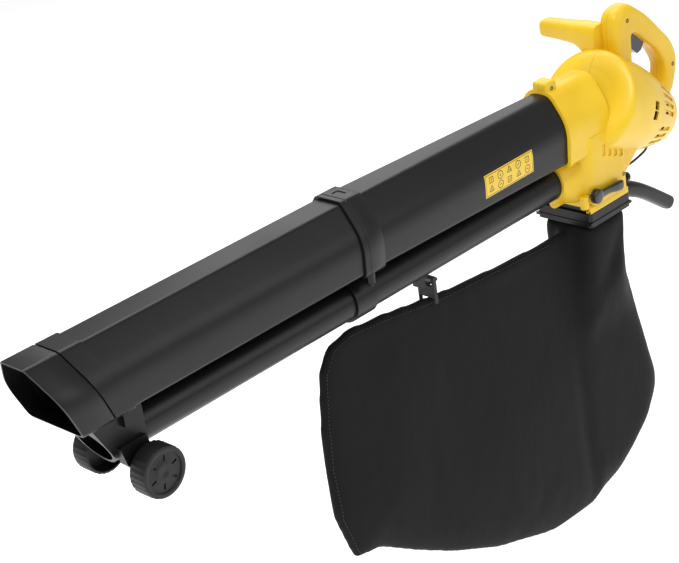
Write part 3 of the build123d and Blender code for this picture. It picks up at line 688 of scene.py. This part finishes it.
def makeLowerBody():
    # walls round the air room, open below over the bag's throat
    h, f, r, b, t = lower["half"], lower["front"], lower["rear"], lower["floor"], lower["top"]
    outline = roundCorners([(-h, f + 12), (-h + 10, f), (h - 10, f), (h, f + 12), (h, r), (-h, r)],
                           [3, 9, 9, 3, 7, 7], 6)
    inside = roundCorners([(-h + 3, f + 14), (-h + 13, f + 4), (h - 13, f + 4), (h - 3, f + 14),
                           (h - 3, r - 4), (-h + 3, r - 4)], 3, 6)
    outer = [[spot(x, y, z) for x, y in outline] for z in (b, t)]
    inner = [[spot(x, y, z) for x, y in inside] for z in (b, t)]
    piece = skin("lower_body", outer + inner[::-1], "housingYellow", closed=True)
    addModifier(piece, "BEVEL", width=0.0012, segments=2, angle_limit=math.radians(50))
    settle(piece)
    cuts = [boxPiece("cut", (h - 1.8, 917 + i * 12, -64 - i * 4.4), (h + 3, 924 + i * 12, -48 - i * 4.4),
                     "housingYellow") for i in range(4)]
    cutWith(piece, joinAll(cuts, "cuts"))
    cutWith(piece, outletBore())
    floorPlate = boxPiece("floor_plate", (-h + 2, f + 3, b), (h - 2, r - 3, b + 3), "housingYellow")
    cutWith(floorPlate, boxPiece("cut", (-30, 902, b - 3), (30, 938, b + 6), "housingYellow"))
    roof = boxPiece("roof", (-h + 2, f + 2, t - 3), (h - 2, r - 2, t - 0.5), "housingYellow")
    extras = [floorPlate, roof]
    for side in (-1, 1):
        extras.append(boxPiece("rail", (side * 40.5, f + 2, b - 8), (side * 45, r, b + 1), "housingYellow",
                               0.8))
        extras.append(boxPiece("rail", (side * 36.5, f + 2, b - 8), (side * 44.5, r, b - 4.5), "housingYellow",
                               0.5))
    # gusset under the cone, and the bosses round the outlet
    gusset = roundCorners([(940, -40), (1016, -66), (1000, -86), (966, -112), (950, -110)], 4)
    extras.append(plate("gusset", gusset, -40, 40, "housingYellow", 2.5))
    extras.append(lathe("knob", [(0, 4), (0.6, 6), (2, 7), (24, 7.6)], (0, 861, -118.5), (0, 1, 0),
                        "housingYellow", 32))
    extras.append(lathe("foot", [(0, 5), (0.8, 6), (18, 6.5)], (38, 881, -126), (0, 0, 1), "housingYellow", 28))
    ring = lathe("ring", [(-0.6, 26.6), (0, 28), (3, 28.4), (12, 28.6)], (0, 854, -86), (0, 1, 0),
                 "housingYellow", 64)
    sleeve = []
    for y, halfX, up, down, power in ((858, 28.2, 28.2, 28.2, 2), (866, 30, 28.6, 30, 2.2),
                                      (876, 34, 29.5, 35, 2.8),
                                      (886, 38, 31, 38.5, 3.6), (898, 41, 32, 39.5, 4.2)):
        middle = spot(0, y, -86 + (up - down) / 2)
        sleeve.append(superRing(middle, Vector((halfX / 1000, 0, 0)), Vector((0, 0, (up + down) / 2000)), power,
                                72))
    web = skin("outlet_sleeve", sleeve, "housingYellow")
    for extra in (ring, web):
        settle(extra)
        cutWith(extra, outletBore())
    for extra in extras:
        settle(extra)
    whole = joinAll([piece, ring, web] + extras, "lower_body_shell")
    return finish(whole, "blower", "yellow_plastic")


def outletBore():
    return lathe("bore", [(0, 24.2), (54, 24.2)], (0, 850, -86), (0, 1, 0), "housingYellow", 64)


makeDuct()
makeBoss()
makeLowerBody()
print("duct and lower body done")

# handles
rearHandle = {"half": 16.0, "square": 3.4, "steps": 40, "stations": [
    ((1002, -30), (1036, -30)), ((1003, 10), (1038, 8)), ((1003, 48), (1040, 38)), ((1003, 84), (1041, 55)),
    ((1013, 100), (1046, 59)), ((1037, 104), (1054, 54)), ((1058, 92), (1065, 45)), ((1080, 75), (1077, 35)),
    ((1104, 51), (1091, 23)), ((1127, 27), (1103, 6)), ((1138, 1), (1108.5, -10)), ((1134, -24), (1104, -30)),
    ((1122, -48), (1094, -40)), ((1094, -58), (1080, -46)), ((1066, -56), (1060, -44))]}


def makeRearHandle():
    pairs = [(spot(0, *o), spot(0, *i)) for o, i in rearHandle["stations"]]
    outer = smoothChain([p[0] for p in pairs], 5)
    inner = smoothChain([p[1] for p in pairs], 5)
    across = Vector((rearHandle["half"] / 1000, 0, 0))
    rings = [superRing((o + i) / 2, across, (o - i) / 2, rearHandle["square"], rearHandle["steps"])
             for o, i in zip(outer, inner)]
    piece = skin("rear_handle_shell", rings, "housingYellow")
    return finish(piece, "blower", "yellow_plastic")


frontBar = {"stations": [(-8, 0, -8, 15, 24), (-15, 0, -7.5, 15.6, 24.5), (-25, 0, -6, 15.8, 23),
                         (-34, 0, -2.5, 15.6, 19),
                         (-45, 0, 0.5, 14.8, 15.2), (-62, 0, 1, 13.6, 13.8), (-80, 0, 1.4, 12.7, 12.9), (-94, 0,
                                                                                                         1.2, 12.2, 12.4),
                         (-99, 0, 1, 11.6, 11.8), (-102.4, 0, 1, 9.6, 9.8), (-103.7, 0, 1, 7, 7.2), (-104, 0, 1,
                                                                                                     4, 4)],
            "y": 998, "z": 70}


def makeFrontBar():
    numbers = smoothChain([Vector(st) for st in frontBar["stations"]], 3)
    rings = []
    for x, dy, dz, halfY, halfZ in numbers:
        middle = spot(x, frontBar["y"] + dy, frontBar["z"] + dz)
        rings.append(superRing(middle, Vector((0, halfY / 1000, 0)), Vector((0, 0, halfZ / 1000)), 3.4, 44))
    return finish(skin("front_bar", rings, "housingYellow"), "blower", "yellow_plastic", "front_handle")


makeRearHandle()
makeFrontBar()
print("handles done")

# bag
bag = {"outline": [(868, -162), (786, -156), (700, -150), (640, -146), (596, -140), (520, -128), (462, -122),
                   (425, -130),
                   (405, -160), (396, -225), (392, -285), (396, -362), (418, -430), (456, -434), (534,
                                                                                                  -484), (600,
                                                                                                          -522),
                   (688, -564), (793, -597), (885, -602), (960, -578), (1028, -524), (1057, -485), (1060, -452),
                   (1046, -412), (1030, -350), (1012, -280), (996, -225), (976, -178)],
       "voxel": 0.0055, "pressure": 1.6, "most": 0.016, "shrink": 0.004, "hem": 9.0, "stitch": 5.2}


def makeBag():
    # a flat pillow, with a neck that widens to the tray, blown up a little
    outline = roundCorners(bag["outline"], 8, 2)
    sheet = plate("bag_sheet", outline, -7, 7, "bagCloth", 0)
    settle(sheet)
    rings = []
    for drop, halfX, front, back in ((0.3, 43, 883.5, 969), (16, 43, 882, 970), (36, 40, 880, 974),
                                     (66, 33, 876, 980),
                                     (104, 23, 872, 988), (150, 12, 868, 996), (176, 6, 868, 1000)):
        middle = spot(0, (front + back) / 2, -154 - drop)
        rings.append(superRing(middle, Vector((halfX / 1000, 0, 0)), Vector((0, (back - front) / 2000, 0)), 7,
                               64))
    neck = skin("bag_neck", rings, "bagCloth")
    addModifier(sheet, "BOOLEAN", object=neck, operation="UNION", solver="EXACT")
    settle(sheet)
    bpy.data.objects.remove(neck)
    addModifier(sheet, "REMESH", mode="VOXEL", voxel_size=bag["voxel"])
    settle(sheet)
    start = [v.co.copy() for v in sheet.data.vertices]
    # the neck is fixed in the tray, and the strap holds the upper hem
    neckLow, hemLow = spot(0, 860, -162), spot(0, 660, -160)
    group = sheet.vertex_groups.new(name="held")
    group.add([i for i, co in enumerate(start) if (co.z > neckLow.z and co.y > neckLow.y)
               or (co.z > hemLow.z and co.y < hemLow.y)], 1.0, "REPLACE")
    cloth = addModifier(sheet, "CLOTH")
    cloth.settings.use_pressure = True
    cloth.settings.uniform_pressure_force = bag["pressure"]
    cloth.settings.vertex_group_mass = "held"
    cloth.settings.effector_weights.gravity = 0.15
    cloth.settings.quality = 6
    scene = bpy.context.scene
    for number in range(1, 21):
        scene.frame_set(number)
    moved = bpy.data.meshes.new_from_object(sheet.evaluated_get(bpy.context.evaluated_depsgraph_get()))
    sheet.modifiers.clear()
    for vert, was, new in zip(sheet.data.vertices, start, moved.vertices):
        step = new.co - was
        step.x = max(-bag["most"], min(bag["most"], step.x))
        step.y = max(-bag["shrink"], min(bag["shrink"], step.y))
        step.z = max(-bag["shrink"], min(bag["shrink"], step.z))
        vert.co = was + step
    scene.frame_set(1)
    addModifier(sheet, "CORRECTIVE_SMOOTH", iterations=12, factor=0.5, smooth_type="SIMPLE",
                use_only_smooth=True)
    addModifier(sheet, "SUBSURF", levels=1, render_levels=1)
    sheet.name = "bag_shell"
    settle(sheet, 180)
    finish(sheet, "bag_tray", "bag_fabric", "bag")
    return sheet


makeBag()
print("bag done")


# wheels
wheel = {"width": 24.0, "inner": 36.6, "y": 117, "z": -122, "ribs": 28, "ribStep": 3, "grooveDeep": 1.0,
         "petals": 6, "petalFrom": 13, "petalTo": 20, "petalHalf": 1.5}


def makeWheel(side, body, node):
    w = wheel
    x0, x1 = w["inner"], w["inner"] + w["width"]
    profile = [(x0, 27), (x0, 29), (x0 + 1, 30), (x1 - 3, 30), (x1 - 0.8, 29.2), (x1, 27.6), (x1, 24.4),
               (x1 - 0.5, 23.6),
               (x1 - 2, 23.2), (x1 - 2.2, 12.0), (x1 - 1.7, 11.2), (x1 - 1.4, 10), (x1 - 1.3, 4.6), (x1 - 1.7,
                                                                                                     3.8),
               (x1 - 2.0, 3.2), (x1 - 2.05, 0.02), (x1 - 2.4, 0.02), (x1 - 2.45, 6.8), (x1 - 6.2, 6.8),
               (x1 - 6.25, 4.3), (x0, 4.3), (x0, 9), (x1 - 6, 9),
               (x1 - 6, 26.6)]
    rings = []
    around = w["ribs"] * w["ribStep"]
    for k in range(around):
        t = 2 * math.pi * k / around
        groove = w["grooveDeep"] if k % w["ribStep"] == 0 else 0.0
        rings.append([spot(side * x, w["y"] + (r - (groove if r > 29 and x < x1 - 2 else 0)) * math.cos(t),
                           w["z"] + (r - (groove if r > 29 and x < x1 - 2 else 0)) * math.sin(t)) for x, r in profile])
    piece = skin("wheel_shell_" + body, rings, "wheelBlack", closed=True)
    cuts = []
    for k in range(w["petals"]):
        t = math.radians(360 * k / w["petals"] + 20)
        cuts.append(boxPiece("cut", (x1 - 3.6, w["petalFrom"], -w["petalHalf"]),
                             (x1, w["petalTo"], w["petalHalf"]), "wheelBlack", 0,
                             lambda x, r, b, t=t: spot(side * x, w["y"] + r * math.cos(t) - b * math.sin(t),
                                                       w["z"] + r * math.sin(t) + b * math.cos(t))))
    cutWith(piece, joinAll(cuts, "cuts"))
    return finish(piece, body, "wheel_plastic", node)


makeWheel(1, "right_wheel", "wheel_right")
makeWheel(-1, "left_wheel", "wheel_left")
print("wheels done")

# selector lever and bag grip
lever = {"y": 893, "z": -110, "x": 45.7}


def makeLever():
    # a knurled hub and an arm that ends in a thicker thumb pad
    y, z, x = lever["y"], lever["z"], lever["x"]
    hub = []
    for along, radius in ((0, 9.4), (0.5, 10), (6.6, 10), (8.2, 9.2), (9.0, 7.6), (9.2, 3)):
        ring = []
        for k in range(72):
            t = 2 * math.pi * k / 72
            r = radius - (0.7 if k % 4 == 0 and radius > 9 and along < 8 else 0)
            ring.append(spot(x + along, y + r * math.cos(t), z + r * math.sin(t)))
        hub.append(ring)
    hubPiece = skin("hub", hub, "knobGloss")
    arm = []
    for dy, half, depth, dz in ((0, 6, 3, 0), (10, 5.6, 3.0, -0.2), (22, 5.0, 2.6, -0.8),
                                (32, 5.2, 2.6, -1.6), (40, 6.4, 3.2, -2.4),
                                (50, 7.0, 3.4, -3.2), (54.5, 6.2, 3.0, -3.6), (56, 4, 2, -3.6)):
        middle = spot(x + 1.5 + depth, y + dy, z + dz)
        arm.append(superRing(middle, Vector((depth / 1000, 0, 0)), Vector((0, 0, half / 1000)), 3.2, 32))
    armPiece = skin("arm", arm, "knobGloss")
    whole = joinAll([hubPiece, armPiece], "selector_lever_shell")
    return finish(whole, "selector", "gloss_black", "selector_lever")


bagGrip = {"half": 13.0, "line": [(971.2, -151.5, 11.5), (988, -151.5, 11.5), (1006, -153.5, 11.5),
                                  (1024, -159.5, 11.5),
                                  (1044, -169, 11), (1064, -181, 10.5), (1084, -194.5, 10.5),
                                  (1104, -208.5, 10.5), (1111, -213.5, 10.5)]}


def makeBagGrip():
    # a curved grip, hollow at its end
    middles = smoothChain([Vector((y, z, h)) for y, z, h in bagGrip["line"]], 4)
    rings, last = [], len(middles) - 1
    for i, (y, z, half) in enumerate(middles):
        before, after = middles[max(i - 1, 0)], middles[min(i + 1, last)]
        run = Vector((0, after[0] - before[0], after[1] - before[1])).normalized()
        upward = Vector((0, -run.z, run.y))
        rings.append(superRing(spot(0, y, z), Vector((bagGrip["half"] / 1000, 0, 0)), upward * (half / 1000),
                               2.6, 44))
    end = rings[-1]
    centre = sum(end, Vector()) / len(end)
    back = (sum(rings[-6], Vector()) / len(end)) - centre
    for shrink, depth in ((0.94, -0.06), (0.86, 0.0), (0.80, 0.12), (0.76, 0.9)):
        rings.append([centre + (v - centre) * shrink + back * depth for v in end])
    piece = skin("bag_grip", rings, "tubeBlack")
    return finish(piece, "bag_tray", "black_plastic", "bag_handle")


makeLever()
makeBagGrip()
print("controls done")

# interlock lead
lead = {"route": [(10, 1063, -100), (10, 1063, -111), (10, 1045, -116), (10, 1026, -119), (10, 1006, -119.6),
                  (10, 986, -116.5), (10, 974, -112), (10, 963, -112)], "diameter": 0.0034, "shorter": 0.97}


def makeLead():
    curve = bpy.data.curves.new("interlock_cord", "CURVE")
    curve.dimensions = "3D"
    curve.bevel_depth = lead["diameter"] / 2
    curve.bevel_resolution = 5
    curve.resolution_u = 16
    curve.use_fill_caps = True
    line = curve.splines.new("NURBS")
    line.points.add(len(lead["route"]) - 1)
    for point, place in zip(line.points, lead["route"]):
        point.co = (*spot(*place), 1)
    line.order_u = 3
    line.use_endpoint_u = True
    curve.materials.append(paint["leadRubber"])
    cordPiece = bpy.data.objects.new("interlock_cord", curve)
    bpy.context.scene.collection.objects.link(cordPiece)
    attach(cordPiece, "blower")
    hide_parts("interlock_lead")


makeLead()
print("lead done")

# label
labelArt = {"y": (685, 781), "drop": (0.5, 30.5), "line": 0.9, "rows": 2, "columns": 5}


def facetSpot(y, z, out):
    # a place on the tube's near side, pushed out by so much
    ring = tubeRing(y, blendAt(y))
    height = spot(0, 0, z).z
    side = [(ring[i], ring[(i + 1) % len(ring)]) for i in range(len(ring))]
    for a, b in side:
        if a.x > 0.02 and b.x > 0.02 and min(a.z, b.z) <= height <= max(a.z, b.z) and a.z != b.z:
            t = (height - a.z) / (b.z - a.z)
            along = (b - a).normalized()
            return a + (b - a) * t + Vector((abs(along.z), 0,
                                             -along.x if along.z > 0 else along.x)) * out / 1000
    return spot(tube["side"][0], y, z)


def facetPatch(name, outline, low, high, mat):
    # an outline of (y, z) laid over the tube with a thickness from low to high
    under = [facetSpot(y, z, low) for y, z in outline]
    over = [facetSpot(y, z, high) for y, z in outline]
    return skin(name, [under, over], mat)


def strip(a, b, width, steps=4):
    # a line from a to b with some width, in y and z
    a, b = Vector(a), Vector(b)
    side = (b - a).orthogonal().normalized() * width / 2
    there = [a.lerp(b, k / steps) + side for k in range(steps + 1)]
    back = [a.lerp(b, k / steps) - side for k in range(steps, -1, -1)]
    return [tuple(p) for p in there + back]


def makeLabel():
    y0, y1 = labelArt["y"]
    z1, z0 = -3 - labelArt["drop"][0], -3 - labelArt["drop"][1]
    rows = []
    for k in range(9):
        z = z0 + (z1 - z0) * k / 8
        rows.append([facetSpot(y, z, 0.35) for y in (y0, y0 + 1, (y0 + y1) / 2, y1 - 1, y1)])
    across = (y0, y0 + 1, (y0 + y1) / 2, y1 - 1, y1)
    below = [[facetSpot(y, z0 + (z1 - z0) * k / 8, -0.3) for y in across] for k in range(9)]
    verts = [v for row in rows + below for v in row]
    faces = []
    for layer in (0, 45):
        for k in range(8):
            for j in range(4):
                a = layer + k * 5 + j
                faces.append((a, a + 1, a + 6, a + 5))
    edge = [k for k in range(5)] + [9 + 5 * k for k in range(8)] + [43, 42, 41,
                                                                    40] + [35 - 5 * k for k in range(7)]
    for a, b in zip(edge, edge[1:] + edge[:1]):
        faces.append((a, b, b + 45, a + 45))
    film = meshPiece("label_film", verts, faces, "labelFilm")
    finish(film, "blower", "label_film", "label")
    art = []
    inset = 1.6
    corners = [(y0 + inset, z0 + inset), (y1 - inset, z0 + inset), (y1 - inset, z1 - inset),
               (y0 + inset, z1 - inset)]
    for a, b in zip(corners, corners[1:] + corners[:1]):
        art.append(facetPatch("ink", strip(a, b, 0.6, 8), 0.3, 0.42, "labelInk"))
    wide = (y1 - y0 - 6) / labelArt["columns"]
    tall = (z1 - z0 - 5) / labelArt["rows"]
    for row in range(labelArt["rows"]):
        for column in range(labelArt["columns"]):
            y, z = y0 + 3 + wide * (column + 0.5), z0 + 2.5 + tall * (row + 0.5)
            art += pictogram(y, z, min(wide, tall) * 0.4, row * labelArt["columns"] + column)
    ink = joinAll(art, "label_art")
    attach(settle(ink), "blower")


def pictogram(y, z, r, number):
    # plain generic shapes: a ring, a triangle or a square, with a bar inside, upright, across or slanted
    shapes = []
    sides = (3, 24, 4, 3, 24, 4, 24, 3, 24, 4)[number]
    turn = math.pi / 2 if sides == 3 else math.pi / 4
    ring = [(y + r * math.cos(turn + 2 * math.pi * k / sides), z + r * math.sin(turn + 2 * math.pi * k / sides))
            for k in range(sides)]
    for a, b in zip(ring, ring[1:] + ring[:1]):
        shapes.append(facetPatch("ink", strip(a, b, labelArt["line"], 2), 0.3, 0.42, "labelInk"))
    inner = [strip((y, z - r * 0.35), (y, z + r * 0.3), 1.1, 2),
             strip((y - r * 0.4, z), (y + r * 0.4, z), 1.1, 2),
             strip((y - r * 0.3, z - r * 0.3), (y + r * 0.3, z + r * 0.3), 1.1, 2)][number % 3]
    shapes.append(facetPatch("ink", inner, 0.3, 0.42, "labelInk"))
    return shapes


makeLabel()
print("label done")

# screws, stitches
def socketId(tree, name):
    for item in tree.interface.items_tree:
        if item.item_type == "SOCKET" and item.in_out == "INPUT" and item.name == name:
            return item.identifier


class NodeTree:
    # a Geometry Nodes tree with named inputs
    def __init__(self, name, inputs):
        self.tree = bpy.data.node_groups.new(name, "GeometryNodeTree")
        self.tree.interface.new_socket("Geometry", in_out="INPUT", socket_type="NodeSocketGeometry")
        for label, kind in inputs:
            self.tree.interface.new_socket(label, in_out="INPUT", socket_type="NodeSocket" + kind)
        self.tree.interface.new_socket("Geometry", in_out="OUTPUT", socket_type="NodeSocketGeometry")
        self.source = self.tree.nodes.new("NodeGroupInput")
        self.sink = self.tree.nodes.new("NodeGroupOutput")

    def add(self, kind, links=None, **settings):
        node = self.tree.nodes.new(kind)
        for key, value in settings.items():
            setattr(node, key, value)
        for key, value in (links or {}).items():
            if isinstance(value, bpy.types.NodeSocket):
                self.tree.links.new(value, node.inputs[key])
            else:
                node.inputs[key].default_value = value
        return node

    def end(self, geometry, mat):
        real = self.add("GeometryNodeRealizeInstances", {0: geometry}).outputs[0]
        painted = self.add("GeometryNodeSetMaterial", {"Geometry": real, "Material": paint[mat]}).outputs[0]
        self.tree.links.new(painted, self.sink.inputs[0])


def growOn(name, points, normals, tree, values):
    # points with normals carry the tree's copies; the result is one plain mesh
    mesh = bpy.data.meshes.new(name)
    mesh.from_pydata([tuple(p) for p in points], [], [])
    facing = mesh.attributes.new("facing", "FLOAT_VECTOR", "POINT")
    for item, normal in zip(facing.data, normals):
        item.vector = normal
    piece = bpy.data.objects.new(name, mesh)
    bpy.context.scene.collection.objects.link(piece)
    mod = piece.modifiers.new("grow", "NODES")
    mod.node_group = tree.tree
    for label, value in values.items():
        mod[socketId(tree.tree, label)] = value
    return settle(piece, 30)


def screwTree():
    t = NodeTree("screws", [("Head Radius", "Float"), ("Head Height", "Float"), ("Slot Width", "Float")])
    radius, height, slot = (t.source.outputs[k] for k in ("Head Radius", "Head Height", "Slot Width"))
    head = t.add("GeometryNodeMeshCone", {"Vertices": 28, "Side Segments": 1, "Radius Bottom": radius,
                                          "Depth": height})
    top = t.add("ShaderNodeMath", {0: radius, 1: 0.82}, operation="MULTIPLY").outputs[0]
    t.tree.links.new(top, head.inputs["Radius Top"])
    long = t.add("ShaderNodeMath", {0: radius, 1: 1.25}, operation="MULTIPLY").outputs[0]
    size1 = t.add("ShaderNodeCombineXYZ", {0: long, 1: slot, 2: height}).outputs[0]
    size2 = t.add("ShaderNodeCombineXYZ", {0: slot, 1: long, 2: height}).outputs[0]
    lift = t.add("ShaderNodeCombineXYZ", {2: height}).outputs[0]
    bars = []
    for size in (size1, size2):
        bar = t.add("GeometryNodeMeshCube", {"Size": size}).outputs[0]
        bars.append(t.add("GeometryNodeTransform", {"Geometry": bar, "Translation": lift}).outputs[0])
    cut = t.add("GeometryNodeMeshBoolean", {0: head.outputs[0]}, operation="DIFFERENCE")
    for bar in bars:
        t.tree.links.new(bar, cut.inputs[1])
    facing = t.add("GeometryNodeInputNamedAttribute", {"Name": "facing"}, data_type="FLOAT_VECTOR").outputs[0]
    turn = t.add("FunctionNodeAlignRotationToVector", {"Vector": facing}, axis="Z").outputs[0]
    copies = t.add("GeometryNodeInstanceOnPoints",
                   {"Points": t.source.outputs[0], "Instance": cut.outputs[0], "Rotation": turn})
    t.end(copies.outputs[0], "screwDark")
    return t


def stitchTree():
    t = NodeTree("stitches", [("Length", "Float"), ("Thickness", "Float")])
    length, thick = t.source.outputs["Length"], t.source.outputs["Thickness"]
    thread = t.add("GeometryNodeMeshUVSphere", {"Segments": 8, "Rings": 5, "Radius": 1.0}).outputs[0]
    half = t.add("ShaderNodeMath", {0: length, 1: 0.5}, operation="MULTIPLY").outputs[0]
    size = t.add("ShaderNodeCombineXYZ", {0: thick, 1: thick, 2: half}).outputs[0]
    facing = t.add("GeometryNodeInputNamedAttribute", {"Name": "facing"}, data_type="FLOAT_VECTOR").outputs[0]
    turn = t.add("FunctionNodeAlignRotationToVector", {"Vector": facing}, axis="Z").outputs[0]
    copies = t.add("GeometryNodeInstanceOnPoints",
                   {"Points": t.source.outputs[0], "Instance": thread, "Rotation": turn, "Scale": size})
    t.end(copies.outputs[0], "stitchThread")
    return t


# on the collar boss, the handle's top, its grip and the lower body
screws = {"housing": [(10.4, 865, 45), (14.4, 1028, 84), (14.4, 1124, -8), (43.4, 959, -104)],
          "lugs": [(-36, 477, -60.9), (36, 477, -60.9)]}


def makeScrews():
    near = Vector((1, 0, 0))
    places = [spot(*place) for place in screws["housing"]]
    tree = screwTree()
    piece = growOn("housing_screw_heads", places, [near] * len(places), tree,
                   {"Head Radius": 0.0034, "Head Height": 0.0018, "Slot Width": 0.0009})
    finish(piece, "blower", "steel", "housing_screws")
    down = Vector((0, 0, -1))
    lugs = [spot(*place) for place in screws["lugs"]]
    piece = growOn("tube_screw_heads", lugs, [down, down], tree,
                   {"Head Radius": 0.0039, "Head Height": 0.002, "Slot Width": 0.001})
    finish(piece, "blower", "steel", "tube_screws")


def makeStitches(bagPiece):
    # two rows of stitches a little inside the bag's edge, on both faces
    outline = roundCorners(bag["outline"], 24, 6)
    loop = [Vector(p) for p in outline]
    middle = Vector((730, -360))
    points, facings = [], []
    spacing, along = bag["stitch"], 0.0
    bpy.context.evaluated_depsgraph_get()
    for a, b in zip(loop, loop[1:] + loop[:1]):
        run = b - a
        while along < run.length:
            here = a + run.normalized() * along
            inward = Vector((-run.y, run.x)).normalized()
            inward = inward if inward.dot(middle - here) > 0 else -inward
            spotHere = here + inward * bag["hem"]
            if spotHere.y < -205 or spotHere.x < 840:
                for side in (-1, 1):
                    start = spot(side * 80, spotHere.x, spotHere.y)
                    hit, place, normal = bagPiece.ray_cast(start, Vector((-side, 0, 0)))[:3]
                    if hit:
                        points.append(place + normal * 0.0001)
                        facings.append(Vector((0, run.x, run.y)).normalized())
            along += spacing
        along -= run.length
    piece = growOn("bag_stitches", points, facings, stitchTree(), {"Length": 0.0028, "Thickness": 0.00045})
    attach(piece, "bag_tray")


makeScrews()
makeStitches(bpy.data.objects["bag_shell"])
print("screws and stitches done")
